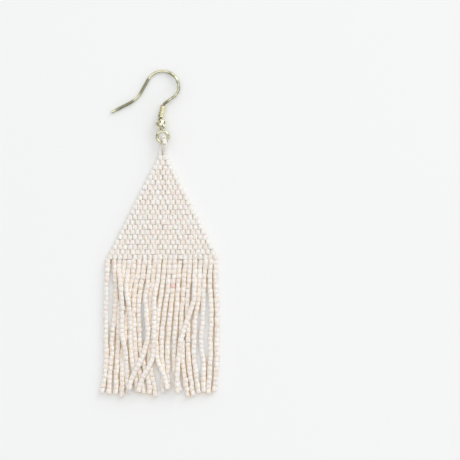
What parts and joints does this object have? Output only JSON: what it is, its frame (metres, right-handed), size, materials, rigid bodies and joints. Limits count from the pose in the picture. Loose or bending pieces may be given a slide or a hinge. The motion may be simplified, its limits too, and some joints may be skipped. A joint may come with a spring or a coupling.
{
  "type": "beaded fringe earring",
  "caption": "Drop earring with a fish-hook ear wire, wound coil and ball, a brick-stitch triangle of seed beads and a fringe of straight bead strands, lying flat.",
  "frame": {"origin": "on the surface that the earring lies on, under the middle of the beaded panel", "axes": "+X across the panel to the right, +Y up the earring from the fringe to the hook, +Z away from the surface"},
  "size_m": [0.0329, 0.0898, 0.0037],
  "materials": {
    "hook_metal": "pale champagne gold plating, polished",
    "bead_glass": "opaque ivory seed beads with a soft pearl lustre",
    "thread": "waxed beige beading thread"
  },
  "bodies": {
    "root": {"ear_hook": "hook_metal", "hook_coil": "hook_metal", "hook_ball": "hook_metal", "bead_loop": "bead_glass", "beaded_panel": "bead_glass", "fringe": "bead_glass"}
  },
  "joints": []
}
